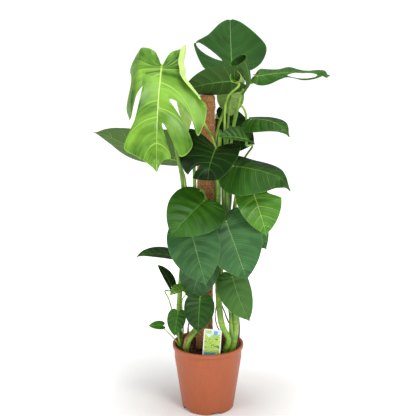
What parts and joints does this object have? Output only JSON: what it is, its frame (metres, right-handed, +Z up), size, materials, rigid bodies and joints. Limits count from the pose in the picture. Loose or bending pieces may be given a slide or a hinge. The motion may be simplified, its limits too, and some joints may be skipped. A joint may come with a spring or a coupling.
{
  "type": "potted monstera plant",
  "caption": "Potted climbing monstera with heart-shaped and split leaves on long stalks, its vines trained up a coir pole set in a round plastic nursery pot.",
  "frame": {"origin": "on the ground at the centre of the pot's base", "axes": "+Z up along the pot and the pole, -Y the plant's front, +X to the right seen from the front"},
  "size_m": [0.7345, 0.3293, 1.2984],
  "materials": {
    "pot": "satin injection-moulded terracotta-coloured plastic",
    "soil": "moist peat and bark potting mix",
    "coir": "matted brown coconut fibre",
    "wood": "raw wooden stake",
    "label": null,
    "dark_leaf": "waxy dark green living leaf",
    "fresh_leaf": "glossy light green young leaf",
    "petiole": "smooth pale green leaf stalk",
    "vine": "smooth green stem with leaf scars",
    "root": "brown aerial root"
  },
  "bodies": {
    "root": {"pot": "pot", "soil": "soil", "coir_sleeve": "coir", "pole_core": "wood", "plant_label": "label", "vine_pole": "vine", "vine_right": "vine", "vine_left": "vine", "vine_outer": "vine", "blade_back_left": "dark_leaf", "petiole_back_left": "petiole", "blade_back_right": "dark_leaf", "petiole_back_right": "petiole", "blade_behind_petioles": "dark_leaf", "petiole_behind_petioles": "petiole", "blade_behind_top": "dark_leaf", "petiole_behind_top": "petiole", "blade_bright_right": "fresh_leaf", "petiole_bright_right": "petiole", "blade_centre": "dark_leaf", "petiole_centre": "petiole", "blade_front_curl": "dark_leaf", "petiole_front_curl": "petiole", "blade_front_left": "dark_leaf", "petiole_front_left": "petiole", "blade_front_mid": "dark_leaf", "petiole_front_mid": "petiole", "blade_front_right": "dark_leaf", "petiole_front_right": "petiole", "blade_great": "fresh_leaf", "petiole_great": "petiole", "blade_left_back": "dark_leaf", "petiole_left_back": "petiole", "blade_low_centre": "dark_leaf", "petiole_low_centre": "petiole", "blade_low_heart": "dark_leaf", "petiole_low_heart": "petiole", "blade_low_right": "dark_leaf", "petiole_low_right": "petiole", "blade_pale_back": "fresh_leaf", "petiole_pale_back": "petiole", "blade_right": "dark_leaf", "petiole_right": "petiole", "blade_right_high": "dark_leaf", "petiole_right_high": "petiole", "blade_right_mid": "dark_leaf", "petiole_right_mid": "petiole", "blade_small_heart": "dark_leaf", "petiole_small_heart": "petiole", "blade_small_left": "dark_leaf", "petiole_small_left": "petiole", "blade_small_side": "fresh_leaf", "petiole_small_side": "petiole", "blade_small_upright": "dark_leaf", "petiole_small_upright": "petiole", "blade_top": "dark_leaf", "petiole_top": "petiole", "rolled_leaf": "fresh_leaf", "aerial_root_left": "root", "aerial_root_right": "root"}
  },
  "joints": []
}
